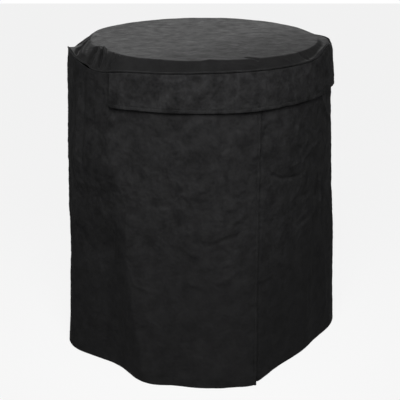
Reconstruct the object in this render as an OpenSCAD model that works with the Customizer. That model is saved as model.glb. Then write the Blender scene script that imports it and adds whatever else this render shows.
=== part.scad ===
// Fitted cloth cover for a round tow-behind spreader, standing on its hem.
// It is sewn from a round top, a welt, two skirt panels, two netted vents and
// one long flap that hangs over the vents from the welt.
//
// Directions: +Z is up, the ground is z = 0 and the front is -Y.
// An azimuth is an angle round the cover, 0 at the front and positive towards +X.
// A fall is a share of the way down the skirt, 0 at the welt and 1 at the hem.

/* [Top] */
// Diameter of the cover at the welt
welt_diameter = 711; // [620:1:800]
// Height of the flat top above the ground
cover_height = 860; // [760:1:950]
// Drop from the flat top to the welt
welt_drop = 22; // [16:1:36]
// Width of the sloping band between the flat top and the welt
band_width = 26; // [20:0.5:40]
// Sideways shift of the welt towards -X, as the cloth settles
welt_shift = 5.5; // [0:0.5:12]
// Height of the pleats gathered in the band at the left
pleat_height = 6; // [0:0.5:9]
// Depth of the hollows behind the lips that the welt forms at both sides
hollow_depth = 9; // [0:0.5:12]

/* [Cloth] */
// Thickness of the coated cloth
cloth = 1.5; // [0.9:0.1:2.2]
// Gap between two layers that lie on each other
ply_gap = 0.3; // [0.25:0.05:0.5]
// Radius of the welt
welt_radius = 3; // [2:0.25:5]

/* [Skirt] */
// Even flare of the hem beyond the welt
hem_flare = 11; // [0:1:40]
// Outward swell of the deepest fold at the hem
fold_depth = 54; // [10:1:70]
// Azimuth of the front lapped seam at the welt
seam_azimuth = 24.5; // [23:0.5:27]
// Turn of the lapped seams from the welt to the hem
seam_lean = -3.5; // [-6:0.5:2]
// Width that the front panel laps over the rear panel
lap_width = 14; // [8:1:22]
// Outward kick of the front panel's free corner at the hem
corner_kick = 9; // [0:1:24]
// Height of the turned hem
hem_height = 25; // [12:1:45]

/* [Vents] */
// Drop from the welt to the top of a vent
vent_drop = 20; // [12:1:26]
// Height of a vent
vent_height = 52; // [36:1:58]
// Azimuth where the front vent starts
front_vent_start = -32; // [-36:1:-10]
// Azimuth where the front vent ends
front_vent_end = 16; // [0:1:18]
// Azimuth where the side vent starts
side_vent_start = 33; // [31:1:50]
// Azimuth where the side vent ends
side_vent_end = 85; // [60:1:92]
// Distance between the net's strands, middle to middle
net_pitch = 20; // [15:0.5:26]
// Width of a strand of the net
net_strand = 3; // [2:0.5:5]
// Thickness of the net
net_thickness = 1; // [0.6:0.1:1.6]
// Width of the net's border behind the edge of a vent
net_border = 6; // [4:0.5:9]

/* [Vent flap] */
// Height of the vent flap
flap_height = 93; // [88:1:130]
// Azimuth of the flap's left end
flap_start = -38; // [-46:0.5:-37.5]
// Azimuth of the flap's right end
flap_end = 97; // [94:1:110]
// Distance that the flap's lower edge stands off the skirt
flap_standoff = 6.5; // [4:0.5:14]
// Extra distance that the flap's two ends stand off the skirt
end_standoff = 2; // [1.5:0.25:5]
// Width of the flap's turned edge
flap_hem = 9; // [5:0.5:16]

/* [Hidden] */

// Colours of the black coated cloth and of the net behind the flap
top_colour = [0.30, 0.30, 0.31];
skirt_colour = [0.16, 0.16, 0.17];
flap_colour = [0.20, 0.20, 0.21];
net_colour = [0.08, 0.08, 0.09];

// Spacing of the columns of facets round the cover, in degrees
column_step = 4;

// How far the rim of the flat top is drawn in where the cloth gathers at the
// left and slackens at the right: [azimuth, depth, spread]
rim_pulls = [
    [-50, 14, 14],
    [-85, 32, 30],
    [-138, 14, 25],
    [80, 14, 40],
];

// How far the rim of the flat top dips at the right
rim_dip = 5;
rim_dip_azimuth = 90;
rim_dip_spread = 40;

// The hollows in the band: [azimuth, share of hollow_depth, spread]
hollows = [
    [66, 1.0, 17],
    [-78, 0.8, 13],
];

// How the welt rises and droops round the cover: [azimuth, height, spread]
welt_waves = [
    [-98, -20, 16],
    [-74, 4, 12],
    [-46, -17, 13],
    [-22, -4, 16],
    [68, 11, 11],
    [100, 8, 15],
];

// The pleats in the band: where they gather and how far apart they are
pleat_azimuth = -60;
pleat_spread = 22;
pleat_pitch = 16;

// The folds of the skirt at the hem: [azimuth, share of fold_depth, spread,
// turn towards the welt]
skirt_folds = [
    [-65, 0.88, 14.5, 0],
    [-21, 0.61, 10.5, -20],
    [9, 0.82, 22, 0],
    [21, 0.12, 6, 3.5],
    [90, 0.88, 20, 0],
    [122, 0.45, 11, 4],
    [150, 0.50, 12, -5],
    [177, 0.72, 15, 0],
    [208, 0.55, 11, 5],
    [236, 0.60, 13, -6],
    [263, 0.55, 12, 4],
];
corner_spread = 9;

// Share of the welt's waves that the flap's lower edge still follows
flap_follow = 0.4;

// Derived sizes
welt_circle = welt_diameter / 2;
rim_circle = welt_circle - band_width;
welt_height = cover_height - welt_drop;
lap_turn = lap_width / welt_circle * 180 / PI;
// Layers lie apart by the gap and by the hollow of a facet between two columns
layer_gap = ply_gap + welt_circle * (1 - cos(column_step / 2));
flap_top_share = (welt_radius + ply_gap) / welt_height;
flap_end_share = flap_top_share + flap_height / welt_height;
vent_top_share = vent_drop / welt_height;
vent_end_share = vent_top_share + vent_height / welt_height;
hem_share = 1 - hem_height / welt_height;

// ---- Shape of the cloth ----

// A smooth hump of height 1 round the cover, centred on one azimuth
function hump(azimuth, centre, spread) =
    let (turn = (azimuth - centre) % 360)
    let (off = turn > 180 ? turn - 360 : turn < -180 ? turn + 360 : turn)
    exp(-pow(off / spread, 2));

// The sum of a list of numbers
function total(values) = len(values) == 0 ? 0 : values * [for (value = values) 1];

// A point at a distance from the axis, an azimuth and a height
function place(reach, azimuth, z) = [reach * sin(azimuth), -reach * cos(azimuth), z];

// Distance from the axis to the outside of the skirt just below the welt
function welt_reach(azimuth) = welt_circle - welt_shift * sin(azimuth);

// Height of the middle of the welt
function welt_z(azimuth) =
    welt_height + total([for (wave = welt_waves) wave[1] * hump(azimuth, wave[0], wave[2])]);

// Distance from the axis to the rim of the flat top
function rim_reach(azimuth) =
    rim_circle - total([for (pull = rim_pulls) pull[1] * hump(azimuth, pull[0], pull[2])]);

// Height of the rim of the flat top
function rim_z(azimuth) =
    cover_height - rim_dip * hump(azimuth, rim_dip_azimuth, rim_dip_spread);

// Height of a point of the skirt or the flap at a fall
function skirt_z(azimuth, fall) = welt_z(azimuth) * (1 - fall);

// Distance from the axis to the outside of the skirt at a fall
function skirt_reach(azimuth, fall) = welt_reach(azimuth) + fall * (hem_flare + fold_depth * total([
    for (fold = skirt_folds)
        fold[1] * hump(azimuth, fold[0] + fold[3] * (1 - fall), fold[2])
]));

// Outward kick of the front panel's free edge, strongest at the hem
function kick(azimuth, fall) =
    corner_kick * pow(fall, 3) * hump(azimuth, seam_azimuth + seam_lean * fall, corner_spread);

// Azimuths from one end of a stretch to the other, about column_step apart
function stretch(start, end) =
    let (count = max(1, ceil((end - start) / column_step - 0.01)))
    [for (i = [0:count]) start + (end - start) * i / count];

// A stretch without its last azimuth, to join it to the next
function open_stretch(start, end) =
    let (whole = stretch(start, end)) [for (i = [0:len(whole) - 2]) whole[i]];

// ---- Cloth as a closed solid ----

// Faces of a sheet with two sides, of columns x rows points a side, without the
// cells for which kept(column, row) is false. A ring joins its last column to its
// first, and a capped ring is closed by a fan round two middle points.
function sheet_faces(columns, rows, ring, capped, kept) =
    let (last = ring ? columns : columns - 1)
    let (at = function(i, j, side) ((i % columns) * rows + j) * 2 + side)
    let (quad = function(a, b, c, d) [[a, b, c], [a, c, d]])
    let (has = function(i, j)
        j >= 0 && j < rows - 1 && (ring || (i >= 0 && i < last))
        && kept((i + last) % last, j))
    let (middle = columns * rows * 2)
    [
        for (i = [0:last - 1], j = [0:rows - 2])
            if (has(i, j))
                each concat(
                    quad(at(i, j, 0), at(i + 1, j, 0), at(i + 1, j + 1, 0), at(i, j + 1, 0)),
                    quad(at(i, j, 1), at(i, j + 1, 1), at(i + 1, j + 1, 1), at(i + 1, j, 1)),
                    has(i, j - 1) || (capped && j == 0) ? []
                        : quad(at(i, j, 0), at(i, j, 1), at(i + 1, j, 1), at(i + 1, j, 0)),
                    has(i, j + 1) ? []
                        : quad(at(i, j + 1, 0), at(i + 1, j + 1, 0), at(i + 1, j + 1, 1), at(i, j + 1, 1)),
                    has(i - 1, j) ? []
                        : quad(at(i, j, 0), at(i, j + 1, 0), at(i, j + 1, 1), at(i, j, 1)),
                    has(i + 1, j) ? []
                        : quad(at(i + 1, j, 0), at(i + 1, j, 1), at(i + 1, j + 1, 1), at(i + 1, j + 1, 0))
                ),
        if (capped)
            for (i = [0:columns - 1])
                each [
                    [middle, at(i + 1, 0, 0), at(i, 0, 0)],
                    [middle + 1, at(i, 0, 1), at(i + 1, 0, 1)],
                ],
    ];

// A sheet of cloth from its columns and rows and the points of its two sides
module sheet(columns, rows, point, kept = function(i, j) true) {
    points = [for (i = [0:len(columns) - 1], j = [0:len(rows) - 1], side = [0, 1])
        point(columns[i], rows[j], side)];
    polyhedron(points, sheet_faces(len(columns), len(rows), false, false, kept), convexity = 8);
}

// A closed ring of cloth, with two middle points where it is capped
module ring_sheet(columns, rows, point, middles = []) {
    points = [for (azimuth = columns, row = rows, side = [0, 1]) point(azimuth, row, side)];
    faces = sheet_faces(len(columns), len(rows), true, len(middles) == 2, function(i, j) true);
    polyhedron(concat(points, middles), faces, convexity = 8);
}

// ---- Pieces ----

// The round top: flat to its rim, then a band that slopes and pleats down to the welt
module top_panel() {
    ring = [for (azimuth = [0:column_step:359]) azimuth];
    // Shares of the flat part, then 1 + shares of the band
    rows = [0.85, 1, 1.35, 1.7, 2];
    edge_in = cloth / 2 + welt_radius + ply_gap;
    point = function(azimuth, row, side)
        let (across = max(0, row - 1))
        let (flat_share = min(1, row))
        let (edge_reach = welt_reach(azimuth) - edge_in)
        let (edge_z = welt_z(azimuth) + cloth / 2)
        let (pleat = pleat_height * hump(azimuth, pleat_azimuth, pleat_spread)
            * cos(360 * (azimuth - pleat_azimuth) / pleat_pitch) * sin(180 * across))
        let (hollow = hollow_depth * sin(180 * across)
            * total([for (dent = hollows) dent[1] * hump(azimuth, dent[0], dent[2])]))
        let (reach = flat_share * rim_reach(azimuth)
            + across * (edge_reach - rim_reach(azimuth)))
        let (rim_fall = (cover_height - rim_z(azimuth)) * pow(flat_share, 6))
        let (z = cover_height - rim_fall + across * (edge_z - rim_z(azimuth)) + pleat - hollow)
        place(reach, azimuth, z - side * cloth * (row > 1 ? 1.3 : 1));
    color(top_colour)
        ring_sheet(ring, rows, point, [[0, 0, cover_height], [0, 0, cover_height - cloth]]);
}

// The welt: a round ridge of folded cloth over the seam between top and skirt
module top_welt() {
    ring = [for (azimuth = [0:column_step:359]) azimuth];
    sides = 6;
    count = len(ring);
    points = [
        for (azimuth = ring, k = [0:sides - 1])
            place(
                welt_reach(azimuth) - cloth / 2 + welt_radius * cos(360 * k / sides),
                azimuth,
                welt_z(azimuth) + welt_radius * sin(360 * k / sides)
            ),
    ];
    faces = [
        for (i = [0:count - 1], k = [0:sides - 1])
            let (next = (i + 1) % count)
            let (turn = (k + 1) % sides)
            each [
                [i * sides + k, next * sides + turn, next * sides + k],
                [i * sides + k, i * sides + turn, next * sides + turn],
            ],
    ];
    color(top_colour)
        polyhedron(points, faces, convexity = 8);
}

// Falls of the skirt's rows, with two rows that bound the vents
skirt_rows = [
    flap_top_share, vent_top_share, vent_end_share, 0.2, 0.34, 0.48, 0.64, 0.82,
    hem_share, hem_share + cloth / welt_height, 1,
];
vent_row = 1;

// Extra thickness of the turned hem on the inside of the skirt
function hem_fold(fall) = fall > hem_share + cloth / welt_height / 2 ? cloth : 0;

// A column of the skirt: its azimuth at the welt and how far it turns with the seam
function column_azimuth(column, fall) = column[0] + column[1] * seam_lean * fall;

// Columns that do not turn with the seam
function still(azimuths) = [for (azimuth = azimuths) [azimuth, 0]];

// The front panel runs from the rear seam to the front seam, over both
module skirt_front_panel() {
    rear_seam = seam_azimuth - 180;
    columns = concat(
        [[rear_seam, 1], [rear_seam + lap_turn, 1]],
        still(open_stretch(rear_seam + 2 * column_step, front_vent_start)),
        still(stretch(front_vent_start, front_vent_end)),
        [[seam_azimuth - lap_turn, 1], [seam_azimuth, 1]]
    );
    point = function(column, fall, side)
        let (azimuth = column_azimuth(column, fall))
        let (reach = skirt_reach(azimuth, fall) + kick(azimuth, fall))
        place(reach - side * (cloth + hem_fold(fall)), azimuth, skirt_z(azimuth, fall));
    open = function(i, j)
        j == vent_row && columns[i][0] > front_vent_start - 0.1 && columns[i][0] < front_vent_end - 0.1;
    color(skirt_colour)
        sheet(columns, skirt_rows, point, function(i, j) !open(i, j));
}

// The rear panel tucks behind the front panel at both seams
module skirt_rear_panel() {
    seam_end = seam_azimuth + 180;
    tuck = cloth + layer_gap;
    // Turn in which the panel comes out flush beside the lap
    lap_step = 1.4;
    columns = concat(
        [[seam_azimuth - lap_turn, 1], [seam_azimuth, 1], [seam_azimuth + lap_step, 1]],
        still(stretch(side_vent_start, side_vent_end)),
        still([for (azimuth = stretch(side_vent_end, seam_end - 2 * column_step))
            if (azimuth > side_vent_end) azimuth]),
        [[seam_end - lap_step, 1], [seam_end, 1], [seam_end + lap_turn, 1]]
    );
    point = function(column, fall, side)
        let (azimuth = column_azimuth(column, fall))
        let (tucked = column[0] < seam_azimuth + lap_step / 2 || column[0] > seam_end - lap_step / 2)
        let (under_hem = tucked ? hem_fold(fall) : 0)
        let (reach = skirt_reach(azimuth, fall) - (tucked ? tuck + under_hem : 0))
        place(reach - side * (cloth + hem_fold(fall)), azimuth, skirt_z(azimuth, fall));
    open = function(i, j)
        j == vent_row && columns[i][0] > side_vent_start - 0.1 && columns[i][0] < side_vent_end - 0.1;
    color(skirt_colour)
        sheet(columns, skirt_rows, point, function(i, j) !open(i, j));
}

// Positions of the edges of a net's openings: a border, then openings and strands
function net_lines(start, end, border, strand, count) =
    let (pitch = (end - start) / count)
    concat(
        [start - border],
        [for (k = [0:count - 1]) each [start + k * pitch + strand / 2, start + (k + 1) * pitch - strand / 2]],
        [end + border]
    );

// A net sewn behind the skirt over one vent
module vent_net(start, end) {
    degree = welt_circle * PI / 180;
    across = max(2, round((end - start) * degree / net_pitch));
    down = max(2, round(vent_height / net_pitch));
    columns = net_lines(start, end, net_border / degree, net_strand / degree, across);
    rows = net_lines(vent_top_share, vent_end_share, net_border / welt_height,
        net_strand / welt_height, down);
    point = function(azimuth, fall, side)
        let (outside = skirt_reach(azimuth, fall) - cloth - layer_gap)
        place(outside - side * net_thickness, azimuth, skirt_z(azimuth, fall));
    color(net_colour)
        sheet(columns, rows, point, function(i, j) i % 2 == 0 || j % 2 == 0);
}

module front_vent_net() {
    vent_net(front_vent_start, front_vent_end);
}

module side_vent_net() {
    vent_net(side_vent_start, side_vent_end);
}

// The vent flap hangs from the welt over both vents and stands off at its lower edge
module vent_flap() {
    columns = stretch(flap_start, flap_end);
    hem_row = 1 - flap_hem / flap_height;
    // Shares of the way down the flap
    rows = [0, 0.25, 0.58, hem_row, hem_row + cloth / flap_height, 1];
    point = function(azimuth, share, side)
        let (end_height = flap_follow + (1 - flap_follow) * welt_height / welt_z(azimuth))
        let (end_fall = 1 - (1 - flap_end_share) * end_height)
        let (fall = flap_top_share + share * (end_fall - flap_top_share))
        let (to_end = (2 * azimuth - flap_start - flap_end) / (flap_end - flap_start))
        let (inside = skirt_reach(azimuth, fall) + layer_gap
            + flap_standoff * sqrt(share) + end_standoff * abs(to_end))
        let (turned = share > hem_row + cloth / flap_height / 2 ? cloth : 0)
        place(inside + cloth - side * (cloth + turned), azimuth, skirt_z(azimuth, fall));
    color(flap_colour)
        sheet(columns, rows, point);
}

top_panel();
top_welt();
skirt_front_panel();
skirt_rear_panel();
front_vent_net();
side_vent_net();
vent_flap();
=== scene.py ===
"""Looks of a fitted cover of black coated cloth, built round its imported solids.

Lengths are in millimetres and angles in degrees until a mesh is made in metres.
An azimuth is an angle round the cover, 0 at the front (-Y) and positive towards
+X. A fall is a share of the way down the skirt, 0 at the welt and 1 at the hem.
"""

import logging
import math
from dataclasses import dataclass, field
from enum import Enum
from itertools import product
from typing import List, Optional, Sequence, Tuple

import bpy
import numpy as np
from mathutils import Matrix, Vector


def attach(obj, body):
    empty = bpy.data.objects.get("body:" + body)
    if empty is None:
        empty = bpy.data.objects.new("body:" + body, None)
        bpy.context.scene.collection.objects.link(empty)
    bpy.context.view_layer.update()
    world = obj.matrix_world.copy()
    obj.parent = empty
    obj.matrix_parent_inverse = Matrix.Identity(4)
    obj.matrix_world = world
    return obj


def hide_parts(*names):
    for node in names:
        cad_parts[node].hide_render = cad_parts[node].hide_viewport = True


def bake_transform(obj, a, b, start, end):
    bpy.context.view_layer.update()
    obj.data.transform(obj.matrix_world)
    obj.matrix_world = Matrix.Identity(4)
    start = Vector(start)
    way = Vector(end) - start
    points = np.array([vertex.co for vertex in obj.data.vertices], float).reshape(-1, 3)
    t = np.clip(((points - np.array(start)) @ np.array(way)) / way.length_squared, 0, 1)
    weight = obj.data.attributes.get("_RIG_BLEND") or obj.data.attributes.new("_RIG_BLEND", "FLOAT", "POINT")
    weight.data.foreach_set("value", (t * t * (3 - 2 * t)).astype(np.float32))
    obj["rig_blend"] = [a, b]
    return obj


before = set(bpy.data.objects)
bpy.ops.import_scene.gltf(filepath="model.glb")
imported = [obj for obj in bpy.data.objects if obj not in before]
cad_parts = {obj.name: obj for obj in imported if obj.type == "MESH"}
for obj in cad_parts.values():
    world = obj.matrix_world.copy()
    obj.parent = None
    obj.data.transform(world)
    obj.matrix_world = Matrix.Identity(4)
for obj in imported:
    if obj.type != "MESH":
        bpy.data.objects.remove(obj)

Array = np.ndarray
Spot = Tuple[float, float]
Triple = Tuple[float, float, float]

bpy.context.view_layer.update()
MILLIMETRE = 0.001
FRONT_STEP = 0.5
REAR_STEP = 0.9
ROW_STEP = 3.5
LOG = logging.getLogger("cover")


# ---- Numbers that shape cloth ----


def smooth(value: Array) -> Array:
    """Ease a value from 0 to 1, flat beyond both."""
    value = np.clip(value, 0.0, 1.0)
    return value * value * (3.0 - 2.0 * value)


def hump(azimuth: Array, centre: float, spread: float) -> Array:
    """Give a smooth hump of height 1 round the cover.

    Args:
        azimuth: Where the hump is wanted.
        centre: Azimuth of its top.
        spread: Its half width, in degrees.

    Returns:
        The hump's height at each azimuth.
    """
    off = (azimuth - centre + 180.0) % 360.0 - 180.0
    return np.exp(-np.square(off / spread))


def graded(marks: Sequence[float], steps: Sequence[float], fixed: Sequence[float] = ()) -> Array:
    """Space values between marks, each stretch by its own step.

    Args:
        marks: Ends of the stretches, in rising order.
        steps: Spacing in each stretch, one fewer than the marks.
        fixed: Values that the result has to hold exactly.

    Returns:
        The values in rising order, with both outer marks.
    """
    parts = []
    for low, high, step in zip(marks[:-1], marks[1:], steps):
        parts.append(np.linspace(low, high, max(2, int(math.ceil((high - low) / step)) + 1)))
    values = np.unique(np.round(np.concatenate(parts), 6))
    for mark in fixed:
        near = np.argmin(np.abs(values - mark))
        values[near] = mark
    return values


@dataclass
class CrinkleNoise:
    """Smooth seeded noise in space, the same on every cloth that it touches."""

    seed: int
    size: int = 512

    def __post_init__(self) -> None:
        """Draw the slopes and the order in which cells take them."""
        rng = np.random.default_rng(self.seed)
        slopes = rng.normal(size=(self.size, 3))
        self.slopes = slopes / np.linalg.norm(slopes, axis=1, keepdims=True)
        self.order = rng.permutation(self.size)

    def at(self, points: Array, grain: Sequence[float]) -> Array:
        """Read the noise at points.

        Args:
            points: Points in space, in the last axis.
            grain: Size of a cell along X, Y and Z.

        Returns:
            A value of about -1 to 1 at each point.
        """
        spot = points / np.asarray(grain, float)
        cell = np.floor(spot).astype(np.int64)
        part = spot - cell
        fade = part ** 3 * (part * (part * 6.0 - 15.0) + 10.0)
        value = np.zeros(points.shape[:-1])
        for corner in product((0, 1), repeat=3):
            key = np.zeros(points.shape[:-1], np.int64)
            for axis in range(3):
                key = self.order[(key + cell[..., axis] + corner[axis]) % self.size]
            weight = np.prod(np.where(corner, fade, 1.0 - fade), axis=-1)
            value += weight * np.sum(self.slopes[key] * (part - corner), axis=-1)
        return value * 1.6

    def ridged(self, points: Array, grain: Sequence[float]) -> Array:
        """Read noise with sharp ridges, 0 on average."""
        return 0.5 - 2.0 * np.abs(self.at(points, grain))


class Profile(Enum):
    """How cloth rises or falls across a crease."""

    SOFT = "soft"
    SHARP = "sharp"


@dataclass(frozen=True)
class Crease:
    """A crease along a line on the cloth, in two flat coordinates."""

    line: Tuple[Spot, ...]
    height: float
    width: float
    profile: Profile = Profile.SOFT
    taper: float = 0.2

    def relief(self, across: Array, along: Array) -> Array:
        """Give the rise of the cloth near this crease.

        Args:
            across: First coordinate of the points.
            along: Second coordinate of the points.

        Returns:
            The rise in millimetres at each point.
        """
        nearest = np.full(across.shape, np.inf)
        share = np.zeros(across.shape)
        spots = np.asarray(self.line, float)
        lengths = np.linalg.norm(np.diff(spots, axis=0), axis=1)
        total = float(lengths.sum())
        passed = 0.0
        for (x0, y0), (x1, y1), length in zip(spots[:-1], spots[1:], lengths):
            ux, uy = (x1 - x0) / length, (y1 - y0) / length
            run = np.clip((across - x0) * ux + (along - y0) * uy, 0.0, length)
            off_x, off_y = across - x0 - run * ux, along - y0 - run * uy
            distance = np.hypot(off_x, off_y)
            closer = distance < nearest
            nearest = np.where(closer, distance, nearest)
            share = np.where(closer, (passed + run) / total, share)
            passed += length
        ends = 1.0 if self.taper <= 0 else smooth(share / self.taper) * smooth((1 - share) / self.taper)
        return self.height * ends * self.section(nearest)

    def section(self, distance: Array) -> Array:
        """Give the crease's cross-section, 1 at its crest."""
        if self.profile is Profile.SHARP:
            return np.exp(-distance / self.width)
        return np.exp(-np.square(distance / self.width))


@dataclass(frozen=True)
class TurnedEdge:
    """A turned and stitched edge: a puffed band with a groove at its stitches."""

    width: float
    puff: float = 0.8
    groove: float = 0.9
    roll: float = 1.0
    groove_width: float = 1.3
    roll_width: float = 1.8

    def relief(self, distance: Array) -> Array:
        """Give the rise of the cloth at a distance from its edge."""
        inside = np.clip(distance / self.width, 0.0, 1.0)
        band = self.puff * np.sqrt(np.clip(np.sin(math.pi * inside), 0.0, 1.0))
        groove = self.groove * np.exp(-np.square((distance - self.width) / self.groove_width))
        roll = self.roll * np.square(np.clip(1.0 - distance / self.roll_width, 0.0, 1.0))
        return band - groove - roll


# ---- Main form of the cover ----


@dataclass
class CoverShape:
    """The hung form of the cover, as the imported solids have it, with a finer run of the welt."""

    welt_circle: float = 355.5
    welt_shift: float = 5.5
    cover_height: float = 860.0
    welt_drop: float = 22.0
    band_width: float = 26.0
    hem_flare: float = 11.0
    fold_depth: float = 54.0
    seam_azimuth: float = 24.5
    seam_lean: float = -3.5
    lap_width: float = 14.0
    corner_kick: float = 9.0
    corner_spread: float = 9.0
    hem_height: float = 25.0
    cloth: float = 1.2
    tuck: float = 2.0
    welt_radius: float = 3.0
    wrap_radius: float = 372.0
    top_edge: float = 3.2
    vent_drop: float = 20.0
    vent_height: float = 52.0
    flap_height: float = 93.0
    flap_span: Spot = (-38.0, 97.0)
    flap_follow: float = 0.25
    welt_waves: Tuple[Triple, ...] = (
        (-98, -20, 16), (-78, 10, 10), (-46, -17, 13), (-22, -4, 16), (68, 20, 9), (90, 13, 18),
    )
    rim_pulls: Tuple[Triple, ...] = ((-50, 14, 14), (-85, 32, 30), (-138, 14, 25), (80, 14, 40))
    rim_dip: Triple = (90, 5, 40)
    hollows: Tuple[Triple, ...] = ((66, 14.0, 17), (-78, 7.2, 13))
    skirt_folds: Tuple[Tuple[float, float, float, float], ...] = (
        (-65, 0.88, 14.5, 0), (-21, 0.61, 10.5, -20), (9, 0.82, 22, 0), (21, 0.12, 6, 3.5),
        (90, 0.88, 20, 0), (122, 0.45, 11, 4), (150, 0.50, 12, -5), (177, 0.72, 15, 0),
        (208, 0.55, 11, 5), (236, 0.60, 13, -6), (263, 0.55, 12, 4),
    )

    @property
    def welt_height(self) -> float:
        """Height of the welt where it neither rises nor droops."""
        return self.cover_height - self.welt_drop

    @property
    def lap_turn(self) -> float:
        """Width of a lap as an angle."""
        return math.degrees(self.lap_width / self.welt_circle)

    @property
    def vent_falls(self) -> Spot:
        """Falls of the upper and the lower edge of the vents."""
        return (self.vent_drop / self.welt_height, (self.vent_drop + self.vent_height) / self.welt_height)

    @property
    def degree(self) -> float:
        """Length of one degree round the welt."""
        return self.welt_circle * math.pi / 180

    @property
    def wrap_degree(self) -> float:
        """Length of one degree round the middle of the skirt."""
        return math.radians(1.0) * self.wrap_radius

    def place(self, reach: Array, azimuth: Array, z: Array) -> Array:
        """Put points at a distance from the axis, an azimuth and a height."""
        turn = np.radians(azimuth)
        return np.stack(np.broadcast_arrays(reach * np.sin(turn), -reach * np.cos(turn), z), axis=-1)

    def outward(self, azimuth: Array) -> Array:
        """Give the level direction away from the axis."""
        return self.place(np.ones(azimuth.shape), azimuth, np.zeros(azimuth.shape))

    def welt_reach(self, azimuth: Array) -> Array:
        """Give the distance from the axis to the skirt just below the welt."""
        return self.welt_circle - self.welt_shift * np.sin(np.radians(azimuth))

    def welt_z(self, azimuth: Array) -> Array:
        """Give the height of the middle of the welt."""
        return self.welt_height + sum(rise * hump(azimuth, at, spread) for at, rise, spread in self.welt_waves)

    def rim_reach(self, azimuth: Array) -> Array:
        """Give the distance from the axis to the rim of the flat top."""
        pulled = sum(depth * hump(azimuth, at, spread) for at, depth, spread in self.rim_pulls)
        return self.welt_circle - self.band_width - pulled

    def rim_z(self, azimuth: Array) -> Array:
        """Give the height of the rim of the flat top."""
        at, dip, spread = self.rim_dip
        return self.cover_height - dip * hump(azimuth, at, spread)

    def skirt_z(self, azimuth: Array, fall: Array) -> Array:
        """Give the height of a point of the skirt or the flap."""
        return self.welt_z(azimuth) * (1.0 - fall)

    def skirt_reach(self, azimuth: Array, fall: Array) -> Array:
        """Give the distance from the axis to the outside of the plain skirt."""
        swell = sum(
            share * hump(azimuth - turn * (1.0 - fall), at, spread)
            for at, share, spread, turn in self.skirt_folds
        )
        return self.welt_reach(azimuth) + fall * (self.hem_flare + self.fold_depth * swell)

    def kick(self, azimuth: Array, fall: Array) -> Array:
        """Give the outward kick of the front panel's free corner."""
        seam = self.seam_azimuth + self.seam_lean * fall
        return self.corner_kick * fall ** 3 * hump(azimuth - seam, 0.0, self.corner_spread)

    def flap_fall(self, azimuth: Array, share: Array) -> Array:
        """Give the fall of a point at a share of the way down the flap."""
        top = self.top_edge / self.welt_height
        level = self.flap_follow + (1.0 - self.flap_follow) * self.welt_height / self.welt_z(azimuth)
        end = 1.0 - (1.0 - top - self.flap_height / self.welt_height) * level
        return top + share * (end - top)

    def under_flap(self, azimuth: Array) -> Array:
        """Tell how far an azimuth lies under the flap, from 0 to 1."""
        start, end = self.flap_span
        return smooth((azimuth - start + 2.5) / 2.0) * smooth((end + 3.0 - azimuth) / 3.0)


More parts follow.
